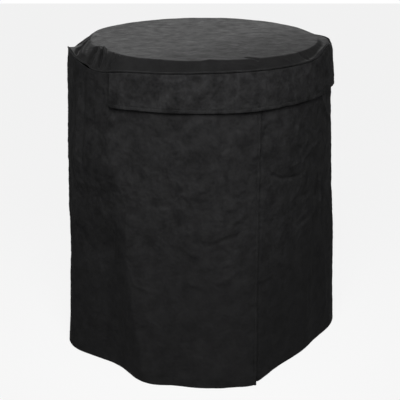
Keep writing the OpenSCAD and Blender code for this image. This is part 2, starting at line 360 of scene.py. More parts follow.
@dataclass
class SkirtRelief:
    """Everything that lifts or sinks the skirt's cloth from its plain form."""

    shape: CoverShape
    noise: CrinkleNoise = field(default_factory=lambda: CrinkleNoise(7))
    wave: float = 5.0
    bend: float = 14.0
    crumples: Tuple[Triple, ...] = ((0.90, 64, 0.0), (1.15, 31, 55.0), (0.85, 16, 91.0))
    pebble: float = 0.22
    gather: float = 0.9
    pressed: float = 2.6
    rear_creases: int = 34

    def __post_init__(self) -> None:
        """Gather the creases of the front and the sides, and draw the rear's."""
        self.creases = [*self.left_creases(), *self.front_creases(), *self.right_creases(), *self.rear()]

    def mark(self, *spots: Spot) -> Tuple[Spot, ...]:
        """Turn azimuths and heights into flat coordinates on the skirt."""
        return tuple((math.radians(azimuth) * self.shape.wrap_radius, z) for azimuth, z in spots)

    def left_creases(self) -> List[Crease]:
        """Give the creases at the left of the front."""
        boundary = ((-41.4, 696), (-36.5, 630), (-33.6, 556), (-29.9, 494), (-29.8, 350),
                    (-27.1, 264), (-26.2, 196), (-23.9, 118), (-22.6, 31), (-21, 0))
        return [
            Crease(self.mark(*boundary), 8.0, 28, Profile.SHARP, 0.06),
            Crease(self.mark((-59.1, 815), (-58.2, 705), (-58.2, 598), (-59, 470)), 4.8, 6),
            Crease(self.mark((-54.8, 810), (-54.2, 640), (-53.2, 480)), -4.6, 9),
            Crease(self.mark((-62.5, 800), (-62, 600), (-62, 470)), -2.8, 6),
            Crease(self.mark((-65, 480), (-63.2, 442), (-62.1, 380), (-59, 335)), 2.6, 5),
            Crease(self.mark((-72, 700), (-70, 420), (-66, 250)), 2.4, 8),
            Crease(self.mark((-47.5, 812), (-46.8, 690)), -2.6, 4, Profile.SHARP, 0.1),
            Crease(self.mark((-42.6, 765), (-38.9, 765)), -2.6, 4, Profile.SOFT, 0.3),
            Crease(self.mark((-38, 712), (-35, 704)), 7.5, 13),
            Crease(self.mark((-42.5, 704), (-39.8, 690)), -1.8, 5),
            Crease(self.mark((-45.5, 672), (-42.5, 664)), -1.6, 5),
            Crease(self.mark((-34.0, 692), (-31.5, 680)), -1.8, 6),
            Crease(self.mark((-29.8, 352), (-25.8, 283), (-20.2, 268), (-14.2, 263)), 1.9, 5),
            Crease(self.mark((-31.5, 366), (-27.5, 340)), -1.4, 5),
            Crease(self.mark((-60, 575), (-40, 585)), 13.0, 64, Profile.SOFT, 0.0),
            Crease(self.mark((-60, 330), (-40, 350)), -11.0, 52, Profile.SOFT, 0.0),
            Crease(self.mark((-44, 470), (-41, 430), (-36, 400)), 1.6, 9),
            Crease(self.mark((-50, 300), (-43, 250), (-36, 228)), 1.2, 9),
        ]

    def front_creases(self) -> List[Crease]:
        """Give the creases of the front face."""
        return [
            Crease(self.mark((2, 402), (9, 421), (14, 428), (17, 444)), -2.0, 5),
            Crease(self.mark((3, 418), (10, 436), (15, 450)), 1.7, 6),
            Crease(self.mark((-9.8, 405), (-4.3, 382), (0.5, 370)), 1.7, 5),
            Crease(self.mark((-5.6, 301), (0.4, 290)), 1.9, 5),
            Crease(self.mark((4, 351), (12, 356)), 1.4, 6),
            Crease(self.mark((5, 299), (10, 316), (16, 342)), 1.6, 6),
            Crease(self.mark((5, 287), (13, 300)), -1.3, 6),
            Crease(self.mark((11.5, 214), (16.8, 180)), 1.4, 8),
            Crease(self.mark((7, 428), (12, 459), (17, 490), (22, 506)), 2.0, 8),
            Crease(self.mark((11, 444), (18, 474), (21, 482)), -1.6, 7),
            Crease(self.mark((-18, 486), (-8, 504)), 1.6, 8),
            Crease(self.mark((-4, 562), (3, 550)), 1.6, 8),
            Crease(self.mark((6, 512), (12, 500)), 1.4, 8),
            Crease(self.mark((-12, 640), (-4, 610), (1, 575)), -1.5, 9),
            Crease(self.mark((10, 660), (17, 600), (19, 545)), 1.5, 13),
            Crease(self.mark((-25, 620), (-19, 560), (-16, 505)), 1.5, 12),
            Crease(self.mark((-8, 700), (-2, 668), (8, 650)), -1.4, 8),
            Crease(self.mark((-14, 300), (-6, 210), (-4, 120)), 1.4, 26),
        ]

    def right_creases(self) -> List[Crease]:
        """Give the creases of the right side: its bulge, wrinkles and folds."""
        outline = ((29.5, 712), (26.2, 690), (24.9, 661), (24.5, 626), (25.8, 594), (29.1, 569),
                   (34.6, 553), (45.9, 544), (52, 560))
        return [
            Crease(self.mark(*outline), -3.6, 5.5, Profile.SOFT, 0.12),
            Crease(self.mark((38, 672), (39, 604)), 9.0, 40, Profile.SOFT, 0.0),
            Crease(self.mark((42.5, 686), (43.8, 645)), 4.0, 7),
            Crease(self.mark((46.5, 570), (49, 590), (54, 608), (61, 613)), 4.4, 6),
            Crease(self.mark((42, 634), (47.5, 612)), -2.2, 6),
            Crease(self.mark((54, 660), (60, 640)), -2.2, 7),
            Crease(self.mark((37, 577), (46.5, 584)), 2.0, 5),
            Crease(self.mark((50, 650), (52, 622)), 2.2, 8),
            Crease(self.mark((43.5, 412), (50, 430), (56, 438)), 2.0, 5),
            Crease(self.mark((45.5, 400), (52, 416)), -1.8, 5),
            Crease(self.mark((48, 392), (54, 406), (60, 417)), 2.0, 5),
            Crease(self.mark((54, 600), (55.1, 572), (60.1, 330), (61, 200)), -5.2, 10, Profile.SOFT, 0.15),
            Crease(self.mark((62, 560), (63.6, 471), (65.5, 400)), 5.0, 6),
            Crease(self.mark((64.1, 345), (65.6, 225)), 4.2, 5),
            Crease(self.mark((66, 520), (69, 380), (71, 300)), -4.4, 8),
            Crease(self.mark((54.5, 330), (58.4, 70)), -2.6, 8),
            Crease(self.mark((71.6, 290), (74.5, 50)), 2.6, 8),
            Crease(self.mark((59.5, 745), (66, 706), (71.7, 672), (80, 640)), 3.6, 7, Profile.SOFT, 0.12),
            Crease(self.mark((60, 716), (72, 650)), -2.6, 8),
            Crease(self.mark((84, 700), (84, 400), (86, 60)), 2.4, 15),
            Crease(self.mark((23.6, 290), (30.5, 293)), 1.5, 5),
            Crease(self.mark((30, 470), (38, 430)), 1.2, 10),
        ]

    def rear(self) -> List[Crease]:
        """Draw the creases of the rear half, of the front's kinds and sizes."""
        rng = np.random.default_rng(23)
        found = []
        for index in range(self.rear_creases):
            azimuth, z = rng.uniform(104, 262), rng.uniform(140, 740)
            rise = rng.choice((-1.0, 1.0)) * rng.uniform(1.2, 3.0)
            if index % 3 == 0:
                line = self.mark((azimuth, z + 120), (azimuth + rng.uniform(-4, 4), z - 120))
                found.append(Crease(line, rise * 1.2, rng.uniform(8, 15)))
            else:
                lean, run = rng.uniform(-30, 30), rng.uniform(3, 7)
                spots = (azimuth - run, z - lean), (azimuth, z + rng.uniform(-8, 8)), (azimuth + run, z + lean)
                line = self.mark(*spots)
                found.append(Crease(line, rise, rng.uniform(5, 9)))
        return found

    def freedom(self, azimuth: Array, fall: Array) -> Array:
        """Tell how free the cloth is to crease, from 0 where it is sewn or covered."""
        covered = self.shape.under_flap(azimuth)
        start, end = 0.006 + 0.076 * covered, 0.05 + 0.09 * covered
        return smooth((fall - start) / (end - start))

    def lift(self, azimuth: Array, fall: Array) -> Array:
        """Give how far the cloth stands out from the plain skirt.

        Args:
            azimuth: Azimuth of each point.
            fall: Fall of each point.

        Returns:
            The distance in millimetres, positive outwards.
        """
        shape, noise = self.shape, self.noise
        z = shape.skirt_z(azimuth, fall)
        wrapped = (azimuth + 98.0) % 360.0 - 98.0
        across = np.radians(wrapped) * shape.wrap_radius
        spot = shape.place(np.full(azimuth.shape, shape.wrap_radius), azimuth, z)
        warp = np.stack([noise.at(spot + shift, (70, 70, 70)) for shift in (0.0, 371.0, 913.0)], -1)
        bent = spot + self.bend * warp
        upper = 0.45 + 0.55 * smooth((z - 250.0) / 300.0)
        drape = self.wave * noise.at(spot, (120, 120, 460)) + 0.5 * self.wave * noise.at(spot, (70, 70, 170))
        crumple = sum(weight * noise.ridged(bent + shift, (grain,) * 3) for weight, grain, shift in self.crumples)
        crumple = crumple + self.pebble * noise.at(bent, (9, 9, 9))
        rise = drape + upper * crumple
        for crease in self.creases:
            rise = rise + crease.relief(across, z)
        depth = fall * shape.welt_height
        gather = self.gather * noise.at(spot, (15, 15, 120)) * np.exp(-depth / 30.0) * smooth(depth / 6.0)
        beside = (azimuth - shape.flap_span[0] + 0.7) * shape.wrap_degree
        pressed = self.pressed * np.exp(-np.square(beside / 3.0))
        pressed = pressed * smooth(depth / 24.0) * smooth((118.0 - depth) / 16.0)
        return self.freedom(azimuth, fall) * rise + gather * (1.0 - shape.under_flap(azimuth)) - pressed


# ---- Meshes ----


@dataclass
class ClothMesh:
    """A closed sheet of cloth from the points of its two sides."""

    outer: Array
    inner: Array
    kept: Optional[Array] = None
    ring: bool = False
    middles: Optional[Array] = None

    def build(self, name: str, material: bpy.types.Material) -> bpy.types.Object:
        """Make the sheet's object.

        Args:
            name: Name of the piece.
            material: Finish of the piece.

        Returns:
            The object, in the scene.
        """
        columns, rows = self.outer.shape[:2]
        last = columns if self.ring else columns - 1
        kept = np.ones((last, rows - 1), bool) if self.kept is None else self.kept
        index = np.arange(columns * rows).reshape(columns, rows)
        count = columns * rows
        here, there = index[:last], index[(np.arange(last) + 1) % columns]
        a, b, c, d = here[:, :-1], here[:, 1:], there[:, 1:], there[:, :-1]
        sides = [np.stack([a, b, c, d], -1)[kept], np.stack([d, c, b, a], -1)[kept] + count]
        blank = np.zeros((last, 1), bool)
        above = np.hstack([np.ones((last, 1), bool) & (self.middles is not None), kept[:, :-1]])
        below = np.hstack([kept[:, 1:], blank])
        if self.ring:
            before, after = np.roll(kept, 1, axis=0), np.roll(kept, -1, axis=0)
        else:
            edge = np.zeros((1, rows - 1), bool)
            before, after = np.vstack([edge, kept[:-1]]), np.vstack([kept[1:], edge])
        walls = []
        for first, second, beyond in ((a, d, above), (c, b, below), (b, a, before), (d, c, after)):
            rim = kept & ~beyond
            walls.append(np.stack([first[rim], second[rim], second[rim] + count, first[rim] + count], -1))
        points = np.concatenate([self.outer.reshape(-1, 3), self.inner.reshape(-1, 3)])
        faces = [*np.concatenate(sides).tolist(), *np.concatenate(walls).tolist()]
        smooth_faces = sum(len(side) for side in sides)
        flags = [True] * smooth_faces + [False] * (len(faces) - smooth_faces)
        if self.middles is not None:
            points = np.concatenate([points, self.middles])
            first, following = index[:, 0], index[(np.arange(columns) + 1) % columns, 0]
            middle = np.full(columns, 2 * count)
            faces += np.stack([middle, first, following], -1).tolist()
            faces += np.stack([middle + 1, following + count, first + count], -1).tolist()
            flags += [True] * (2 * columns)
        return make_object(name, points, faces, flags, material)


def make_object(name: str, points: Array, faces: List[List[int]], flags: List[bool],
                material: bpy.types.Material) -> bpy.types.Object:
    """Make an object from points in millimetres, without the unused ones.

    Args:
        name: Name of the piece.
        points: Points in millimetres.
        faces: Corners of each face.
        flags: Whether each face is shaded smooth.
        material: Finish of the piece.

    Returns:
        The object, in the scene.
    """
    used = np.zeros(len(points), bool)
    for corners in faces:
        used[corners] = True
    order = np.cumsum(used) - 1
    mesh = bpy.data.meshes.new(name)
    corners_used = [[int(order[k]) for k in corners] for corners in faces]
    mesh.from_pydata((points[used] * MILLIMETRE).tolist(), [], corners_used)
    mesh.polygons.foreach_set("use_smooth", flags)
    mesh.materials.append(material)
    mesh.update()
    piece = bpy.data.objects.new(name, mesh)
    bpy.context.scene.collection.objects.link(piece)
    return piece


@dataclass(frozen=True)
class StitchRow:
    """A row of thread stitches, each a short rounded length sunk in the cloth."""

    pitch: float = 4.2
    length: float = 3.3
    radius: float = 0.42
    sides: int = 6
    shoulder: float = 0.82
    shoulder_size: float = 0.72
    sunk: float = 0.1
    proud: float = 0.12

    def geometry(self, path: Array, outward: Array) -> Tuple[Array, List[List[int]]]:
        """Lay stitches along a path.

        Args:
            path: Points of the path on the cloth.
            outward: Direction away from the cloth at each point.

        Returns:
            The points and the faces of all the stitches.
        """
        steps = np.linalg.norm(np.diff(path, axis=0), axis=1)
        passed = np.concatenate([[0.0], np.cumsum(steps)])
        spots = np.arange(self.pitch, passed[-1] - self.pitch / 2, self.pitch)
        centre = np.stack([np.interp(spots, passed, path[:, k]) for k in range(3)], -1)
        up = np.stack([np.interp(spots, passed, outward[:, k]) for k in range(3)], -1)
        ahead = np.stack([np.interp(spots + 0.5, passed, path[:, k]) for k in range(3)], -1) - centre
        ahead /= np.linalg.norm(ahead, axis=1, keepdims=True)
        up -= np.sum(up * ahead, axis=1, keepdims=True) * ahead
        up /= np.linalg.norm(up, axis=1, keepdims=True)
        across = np.cross(ahead, up)
        template, faces = self.one()
        points = (
            centre[:, None, :]
            + template[None, :, 0:1] * ahead[:, None, :]
            + template[None, :, 1:2] * across[:, None, :]
            + template[None, :, 2:3] * up[:, None, :]
        )
        size = len(template)
        every = [[k + size * n for k in corners] for n in range(len(spots)) for corners in faces]
        return points.reshape(-1, 3), every

    def one(self) -> Tuple[Array, List[List[int]]]:
        """Give the points and the faces of one stitch."""
        half = self.length / 2
        shoulder = self.shoulder * half
        rings = ((-shoulder, self.shoulder_size), (0.0, 1.0), (shoulder, self.shoulder_size))
        points = [(-half, 0.0, -self.sunk)]
        for along, share in rings:
            for k in range(self.sides):
                turn = 2 * math.pi * k / self.sides
                points.append((along, share * self.radius * math.cos(turn),
                               share * self.radius * math.sin(turn) + self.proud * share))
        points.append((half, 0.0, -self.sunk))
        faces: List[List[int]] = []
        end = len(points) - 1
        for k in range(self.sides):
            turn = (k + 1) % self.sides
            faces.append([0, 1 + turn, 1 + k])
            for ring in (0, 1):
                low, high = 1 + ring * self.sides, 1 + (ring + 1) * self.sides
                faces.append([low + k, low + turn, high + turn, high + k])
            faces.append([end, 1 + 2 * self.sides + k, 1 + 2 * self.sides + turn])
        return np.array(points), faces

    def build(self, name: str, rows: Sequence[Tuple[Array, Array]],
              material: bpy.types.Material) -> bpy.types.Object:
        """Make one object of several rows of stitches.

        Args:
            name: Name of the piece.
            rows: A path and its outward directions for each row.
            material: Finish of the thread.

        Returns:
            The object, in the scene.
        """
        points: List[Array] = []
        faces: List[List[int]] = []
        for path, outward in rows:
            some, corners = self.geometry(path, outward)
            shift = sum(len(part) for part in points)
            points.append(some)
            faces += [[k + shift for k in face] for face in corners]
        return make_object(name, np.concatenate(points), faces, [True] * len(faces), material)


# ---- Finishes ----


class NodeSheet:
    """A material's nodes, with short calls to add and join them."""

    def __init__(self, name: str) -> None:
        """Start a material with one shader and its output."""
        self.material = bpy.data.materials.new(name)
        self.material.use_nodes = True
        self.tree = self.material.node_tree
        self.tree.nodes.clear()
        self.output = self.tree.nodes.new("ShaderNodeOutputMaterial")

    def add(self, kind: str, inputs: Optional[dict] = None, **settings: object) -> bpy.types.Node:
        """Add a node.

        Args:
            kind: Blender's name of the node's type.
            inputs: Values or sockets for its inputs, by name or place.
            **settings: Attributes of the node.

        Returns:
            The node.
        """
        node = self.tree.nodes.new(kind)
        for key, value in settings.items():
            setattr(node, key, value)
        for key, value in (inputs or {}).items():
            if isinstance(value, bpy.types.NodeSocket):
                self.tree.links.new(value, node.inputs[key])
            else:
                node.inputs[key].default_value = value
        return node

    def math(self, operation: str, first: object, second: object = 0.0) -> bpy.types.NodeSocket:
        """Add a sum, product or other step of arithmetic."""
        return self.add("ShaderNodeMath", {0: first, 1: second}, operation=operation).outputs[0]

    def noise(self, vector: bpy.types.NodeSocket, scale: float, detail: float = 3.0,
              rough: float = 0.55) -> bpy.types.NodeSocket:
        """Add a noise pattern of a scale in waves a metre."""
        return self.add("ShaderNodeTexNoise", {
            "Vector": vector, "Scale": scale, "Detail": detail, "Roughness": rough,
        }).outputs["Fac"]

    def ranged(self, value: bpy.types.NodeSocket, low: float, high: float, start: float = 0.3,
               end: float = 0.7) -> bpy.types.NodeSocket:
        """Spread a pattern's middle over a range of values."""
        return self.add("ShaderNodeMapRange", {"Value": value, "From Min": start, "From Max": end,
                                               "To Min": low, "To Max": high}).outputs[0]

    def mix(self, share: object, first: object, second: object) -> bpy.types.NodeSocket:
        """Mix two colours by a share of the second."""
        return self.add("ShaderNodeMix", {"Factor": share, 6: first, 7: second}, data_type="RGBA").outputs[2]

    def bump(self, height: bpy.types.NodeSocket, distance: float, strength: float,
             before: Optional[bpy.types.NodeSocket] = None) -> bpy.types.NodeSocket:
        """Add a bump of a height in metres, over another one if it is given."""
        inputs: dict = {"Height": height, "Distance": distance, "Strength": strength}
        if before is not None:
            inputs["Normal"] = before
        return self.add("ShaderNodeBump", inputs).outputs[0]


class Lay(Enum):
    """How a weave's two threads run over a piece."""

    ROUND = "round"
    FLAT = "flat"


@dataclass(frozen=True)
class CoatedCloth:
    """Black woven cloth with a dull coating, creased and slightly dusty."""

    name: str
    shade: float = 0.014
    mottle: float = 0.30
    calm_share: float = 0.55
    dust_tone: float = 2.6
    dust: float = 0.12
    roughness: float = 0.85
    gloss: float = 0.015
    steep_rough: float = 0.0
    worn_rough: float = 0.0
    crumple: float = 0.0026
    cloud_scale: float = 32.0
    speck_scale: float = 190.0
    dust_scale: float = 8.0
    crackle_scale: float = 66.0
    pebble_scale: float = 420.0
    weave_pitch: float = 0.0011
    weave_depth: float = 0.00006
    lay: Lay = Lay.ROUND
    radius: float = 0.37

    def tone(self, share: float) -> Tuple[float, float, float, float]:
        """Give the cloth's colour at a share of its shade."""
        value = self.shade * share
        return (value, value, value * 1.02, 1.0)

    def weave(self, sheet: NodeSheet, place: bpy.types.NodeSocket) -> bpy.types.NodeSocket:
        """Give the height of the weave's crossing threads, 0 to 1.

        Args:
            sheet: The nodes of the material.
            place: Place on the object, in metres.

        Returns:
            The socket of the weave's height.
        """
        split = sheet.add("ShaderNodeSeparateXYZ", {0: place})
        x, y, z = (split.outputs[k] for k in range(3))
        if self.lay is Lay.ROUND:
            turn = sheet.math("ARCTAN2", x, sheet.math("MULTIPLY", y, -1.0))
            first, second = sheet.math("MULTIPLY", turn, self.radius), z
        else:
            first, second = x, y
        beat = 2 * math.pi / self.weave_pitch
        one = sheet.math("SINE", sheet.math("MULTIPLY", first, beat))
        two = sheet.math("SINE", sheet.math("MULTIPLY", second, beat))
        return sheet.math("ADD", sheet.math("MULTIPLY", sheet.math("MULTIPLY", one, two), 0.5), 0.5)

    def bent(self, sheet: NodeSheet, place: bpy.types.NodeSocket) -> bpy.types.NodeSocket:
        """Give a place warped by a few centimetres, so that no pattern runs straight."""
        bend = sheet.add("ShaderNodeTexNoise", {"Vector": place, "Scale": 16.0, "Detail": 1.0})
        warp = sheet.add("ShaderNodeVectorMath", {0: bend.outputs["Color"], "Scale": 0.03}, operation="SCALE")
        return sheet.add("ShaderNodeVectorMath", {0: place, 1: warp.outputs[0]}, operation="ADD").outputs[0]

    def colour(self, sheet: NodeSheet, place: bpy.types.NodeSocket,
               bent: bpy.types.NodeSocket) -> bpy.types.NodeSocket:
        """Give the colour: mottled, more so where the cloth is handled, with a little dust.

        Args:
            sheet: The nodes of the material.
            place: Place on the object, in metres.
            bent: The same place, warped a little.

        Returns:
            The socket of the colour.
        """
        cloudy = sheet.noise(bent, self.cloud_scale, 5.0, 0.68)
        specks = sheet.noise(place, self.speck_scale, 3.0, 0.6)
        mixed = sheet.math("ADD", sheet.math("MULTIPLY", cloudy, 0.75), sheet.math("MULTIPLY", specks, 0.25))
        high = sheet.add("ShaderNodeSeparateXYZ", {0: place}).outputs[2]
        handled = sheet.ranged(high, self.calm_share, 1.0, 0.25, 0.52)
        uneven = sheet.math("MULTIPLY", sheet.math("SUBTRACT", mixed, 0.5), handled)
        mottled = sheet.mix(sheet.ranged(uneven, 0.0, 1.0, -0.11, 0.11),
                            self.tone(1.0 - self.mottle), self.tone(1.0 + self.mottle))
        dusty = sheet.ranged(sheet.noise(place, self.dust_scale, 5.0, 0.7), 0.0, self.dust, 0.5, 0.75)
        return sheet.mix(dusty, mottled, self.tone(self.dust_tone))

    def rough(self, sheet: NodeSheet, place: bpy.types.NodeSocket,
              bent: bpy.types.NodeSocket) -> bpy.types.NodeSocket:
        """Give the roughness: smooth where the cloth lies level, worn at the front right.

        Args:
            sheet: The nodes of the material.
            place: Place on the object, in metres.
            bent: The same place, warped a little.

        Returns:
            The socket of the roughness.
        """
        uneven = sheet.ranged(sheet.noise(bent, 34.0, 4.0, 0.6), self.roughness - 0.07, self.roughness + 0.09)
        if not self.steep_rough:
            return uneven
        facing = sheet.add("ShaderNodeSeparateXYZ", {0: sheet.add("ShaderNodeNewGeometry").outputs["Normal"]})
        steep = sheet.ranged(facing.outputs[2], self.steep_rough, 0.0, 0.86, 0.985)
        split = sheet.add("ShaderNodeSeparateXYZ", {0: place})
        right_front = sheet.math("SUBTRACT", split.outputs[0], split.outputs[1])
        worn = sheet.ranged(right_front, 0.0, self.worn_rough, 0.05, 0.45)
        return sheet.math("ADD", sheet.math("ADD", uneven, steep), worn)

    def build(self) -> bpy.types.Material:
        """Make the material."""
        sheet = NodeSheet(self.name)
        place = sheet.add("ShaderNodeTexCoord").outputs["Object"]
        bent = self.bent(sheet, place)
        crackle = sheet.add("ShaderNodeTexNoise", {
            "Vector": bent, "Scale": self.crackle_scale, "Detail": 4.0, "Roughness": 0.55,
        }, noise_type="RIDGED_MULTIFRACTAL")
        creased = sheet.bump(crackle.outputs["Fac"], self.crumple, 0.6)
        pebbled = sheet.bump(sheet.noise(place, self.pebble_scale, 2.0), 0.0003, 0.3, creased)
        woven = sheet.bump(self.weave(sheet, place), self.weave_depth, 0.6, pebbled)
        shader = sheet.add("ShaderNodeBsdfPrincipled", {
            "Base Color": self.colour(sheet, place, bent), "Roughness": self.rough(sheet, place, bent),
            "Normal": woven, "Specular IOR Level": self.gloss,
        })
        sheet.tree.links.new(shader.outputs[0], sheet.output.inputs[0])
        return sheet.material


@dataclass(frozen=True)
class SewingThread:
    """Black polyester thread with two twisted plies."""

    name: str
    shade: float = 0.013
    roughness: float = 0.7
    gloss: float = 0.04
    twist: float = 1400.0

    def build(self) -> bpy.types.Material:
        """Make the material."""
        sheet = NodeSheet(self.name)
        place = sheet.add("ShaderNodeTexCoord").outputs["Object"]
        split = sheet.add("ShaderNodeSeparateXYZ", {0: place})
        run = sheet.math("ADD", sheet.math("ADD", split.outputs[0], split.outputs[1]), split.outputs[2])
        ply = sheet.math("SINE", sheet.math("MULTIPLY", run, self.twist * 2 * math.pi))
        tone = sheet.ranged(sheet.noise(place, 60.0), 0.0, 1.0)
        low, high = self.shade * 0.7, self.shade * 1.35
        colour = sheet.mix(tone, (low, low, low, 1.0), (high, high, high, 1.0))
        shader = sheet.add("ShaderNodeBsdfPrincipled", {
            "Base Color": colour, "Roughness": self.roughness, "Specular IOR Level": self.gloss,
            "Normal": sheet.bump(ply, 0.0001, 0.5),
        })
        sheet.tree.links.new(shader.outputs[0], sheet.output.inputs[0])
        return sheet.material


@dataclass(frozen=True)
class VentNetting:
    """Soft black netting of the vents."""

    name: str
    shade: float = 0.012
    roughness: float = 0.7
    gloss: float = 0.25

    def build(self) -> bpy.types.Material:
        """Make the material."""
        sheet = NodeSheet(self.name)
        place = sheet.add("ShaderNodeTexCoord").outputs["Object"]
        tone = sheet.ranged(sheet.noise(place, 140.0, 3.0), 0.0, 1.0)
        low, high = self.shade * 0.7, self.shade * 1.4
        colour = sheet.mix(tone, (low, low, low, 1.0), (high, high, high, 1.0))
        shader = sheet.add("ShaderNodeBsdfPrincipled", {
            "Base Color": colour, "Roughness": self.roughness, "Specular IOR Level": self.gloss,
            "Normal": sheet.bump(sheet.noise(place, 900.0, 2.0), 0.0002, 0.4),
        })
        sheet.tree.links.new(shader.outputs[0], sheet.output.inputs[0])
        return sheet.material


# ---- Pieces of the cover ----


@dataclass
class TopPanel:
    """The round top: flat to its rim, then a band that slopes down to the welt."""

    shape: CoverShape
    material: bpy.types.Material
    noise: CrinkleNoise = field(default_factory=lambda: CrinkleNoise(11))
    rim_roundness: float = 0.10
    sag: float = 1.4
    highest_fold: float = 7.5

    def spot(self, reach: float, azimuth: float) -> Spot:
        """Give the plan coordinates of a point."""
        turn = math.radians(azimuth)
        return (reach * math.sin(turn), -reach * math.cos(turn))

    def creases(self) -> List[Crease]:
        """Give the pleats and creases of the band and the rim."""
        spot = self.spot
        return [
            Crease((spot(302, -61.5), spot(336, -55), spot(357, -52)), -14.0, 8, Profile.SOFT, 0.08),
            Crease((spot(306, -76), spot(334, -66), spot(355, -59)), 8.0, 8, Profile.SOFT, 0.1),
            Crease((spot(311, -84), spot(334, -74), spot(356, -63.5)), -9.0, 6, Profile.SOFT, 0.1),
            Crease((spot(305, -58.5), spot(317, -53), spot(343, -48.8), spot(358, -46.8)),
                   10.0, 3.6, Profile.SOFT, 0.06),
            Crease((spot(312, -52.8), spot(333, -48), spot(352, -45.6)), -9.0, 3.2, Profile.SOFT, 0.1),
            Crease((spot(300, -55.5), spot(325, -47), spot(348, -44.4), spot(358, -43.8)),
                   9.0, 3.4, Profile.SOFT, 0.06),
            Crease((spot(318, -42.4), spot(341, -41.4), spot(357, -40.4)), 9.0, 3.4, Profile.SOFT, 0.08),
            Crease((spot(322, -40.1), spot(348, -40.1)), -7.0, 3.4, Profile.SOFT, 0.12),
            Crease((spot(326, -37.4), spot(341, -38.4), spot(356, -39.3)), 9.0, 3.2, Profile.SOFT, 0.08),
            Crease((spot(302, 20), spot(334, 25)), -6.0, 6),
            Crease((spot(327, -1), spot(342, 9), spot(351, 25)), 5.5, 9, Profile.SHARP),
            Crease((spot(330, 34), spot(345, 40)), 1.6, 5),
            Crease((spot(326, -18), spot(346, -14)), 1.0, 6),
            Crease((spot(322, 48), spot(342, 53)), -3.6, 5),
            Crease((spot(285, -95), spot(300, -84), spot(305, -74)), 2.0, 5),
        ]

    def point(self, azimuth: Array, share: Array) -> Array:
        """Give the points of the upper side.

        Args:
            azimuth: Azimuth of each point.
            share: Share of the flat part, then 1 + share of the band.

        Returns:
            The points, in the last axis.
        """
        shape = self.shape
        across, flat = np.clip(share - 1.0, 0.0, 1.0), np.minimum(share, 1.0)
        edge_reach = shape.welt_reach(azimuth) - shape.cloth / 2 - shape.welt_radius + 0.6
        edge_z = shape.welt_z(azimuth) + 0.8
        reach = flat * shape.rim_reach(azimuth) + across * (edge_reach - shape.rim_reach(azimuth))
        hollow = sum(depth * hump(azimuth, at, spread) for at, depth, spread in shape.hollows)
        fall = (shape.cover_height - shape.rim_z(azimuth)) * flat ** 6
        soft = self.rim_roundness
        bent = 0.5 * (across - soft + np.sqrt(np.square(across - soft) + soft * soft))
        slope = np.where(across > 0, bent / bent.max(), 0.0)
        z = shape.cover_height - fall + slope * (edge_z - shape.rim_z(azimuth)) - hollow * np.sin(math.pi * across)
        spot = shape.place(reach, azimuth, z)
        held = np.sin(math.pi * np.clip(across, 0.0, 1.0) * 0.5 + math.pi / 2)
        rise = self.sag * self.noise.at(spot, (95, 95, 95)) * flat ** 2 * held
        rise = rise + 0.35 * self.noise.ridged(spot, (34, 34, 34)) * held
        rise = rise + 0.8 * across * held * self.noise.ridged(spot, (26, 26, 26))
        for crease in self.creases():
            rise = rise + crease.relief(spot[..., 0], spot[..., 1]) * smooth(held * 3.5)
        spot[..., 2] += np.minimum(rise, self.highest_fold)
        return spot

    def build(self) -> bpy.types.Object:
        """Make the top."""
        azimuths = graded((-180, -112, 112, 180), (REAR_STEP, 0.42, REAR_STEP))[:-1]
        flat = np.concatenate([np.linspace(0.03, 0.78, 24), np.linspace(0.81, 0.985, 14)])
        shares = np.concatenate([flat, np.linspace(1.0, 2.0, 18)])
        azimuth, share = np.meshgrid(azimuths, shares, indexing="ij")
        outer = self.point(azimuth, share)
        inner = outer - np.array([0.0, 0.0, self.shape.cloth])
        high = float(outer[:, 0, 2].mean())
        middles = np.array([[0.0, 0.0, high], [0.0, 0.0, high - self.shape.cloth]])
        return ClothMesh(outer, inner, ring=True, middles=middles).build("top_cloth", self.material)


@dataclass
class Welt:
    """The narrow fold of cloth that stands up over the seam of top and skirt."""

    shape: CoverShape
    material: bpy.types.Material
    half_height: float = 3.0
    half_width: float = 1.6
    lean: float = 12.0
    notch: float = -51.0
    notch_rise: float = 2.5
    sides: int = 12
    noise: CrinkleNoise = field(default_factory=lambda: CrinkleNoise(5))

    def centre(self, azimuth: Array) -> Tuple[Array, Array]:
        """Give the reach and the height of the welt's middle."""
        spot = self.shape.place(np.full(azimuth.shape, 360.0), azimuth, np.zeros(azimuth.shape))
        wobble = self.noise.at(spot, (46, 46, 46))
        reach = self.shape.welt_reach(azimuth) - self.shape.cloth / 2
        notch = 1.0 + np.tanh((self.notch - azimuth) / 0.9)
        notch = self.notch_rise * notch * hump(azimuth, self.notch, 7.0)
        height = self.shape.welt_z(azimuth) + 0.8 * self.noise.at(spot + 200.0, (38, 38, 38))
        return reach + 0.9 * wobble, height + notch

    def build(self) -> bpy.types.Object:
        """Make the welt."""
        azimuths = graded((-180, -112, 112, 180), (0.9, 0.4, 0.9))[:-1]
        reach, z = self.centre(azimuths)
        turns = np.arange(self.sides) * 2 * math.pi / self.sides
        out, up = self.half_width * np.cos(turns), self.half_height * np.sin(turns)
        lean = math.radians(self.lean)
        shift = out * math.cos(lean) + up * math.sin(lean)
        rise = up * math.cos(lean) - out * math.sin(lean)
        points = self.shape.place(reach[:, None] + shift, azimuths[:, None], z[:, None] + rise)
        count, sides = len(azimuths), self.sides
        index = np.arange(count * sides).reshape(count, sides)
        here, turned = index, np.roll(index, -1, axis=1)
        ahead, ahead_turned = np.roll(index, -1, axis=0), np.roll(np.roll(index, -1, axis=0), -1, axis=1)
        faces = np.stack([here, ahead, ahead_turned, turned], -1).reshape(-1, 4)
        return make_object("welt_ridge", points.reshape(-1, 3), faces.tolist(), [True] * len(faces), self.material)


class Panel(Enum):
    """The two panels of the skirt."""

    FRONT = "front"
    REAR = "rear"


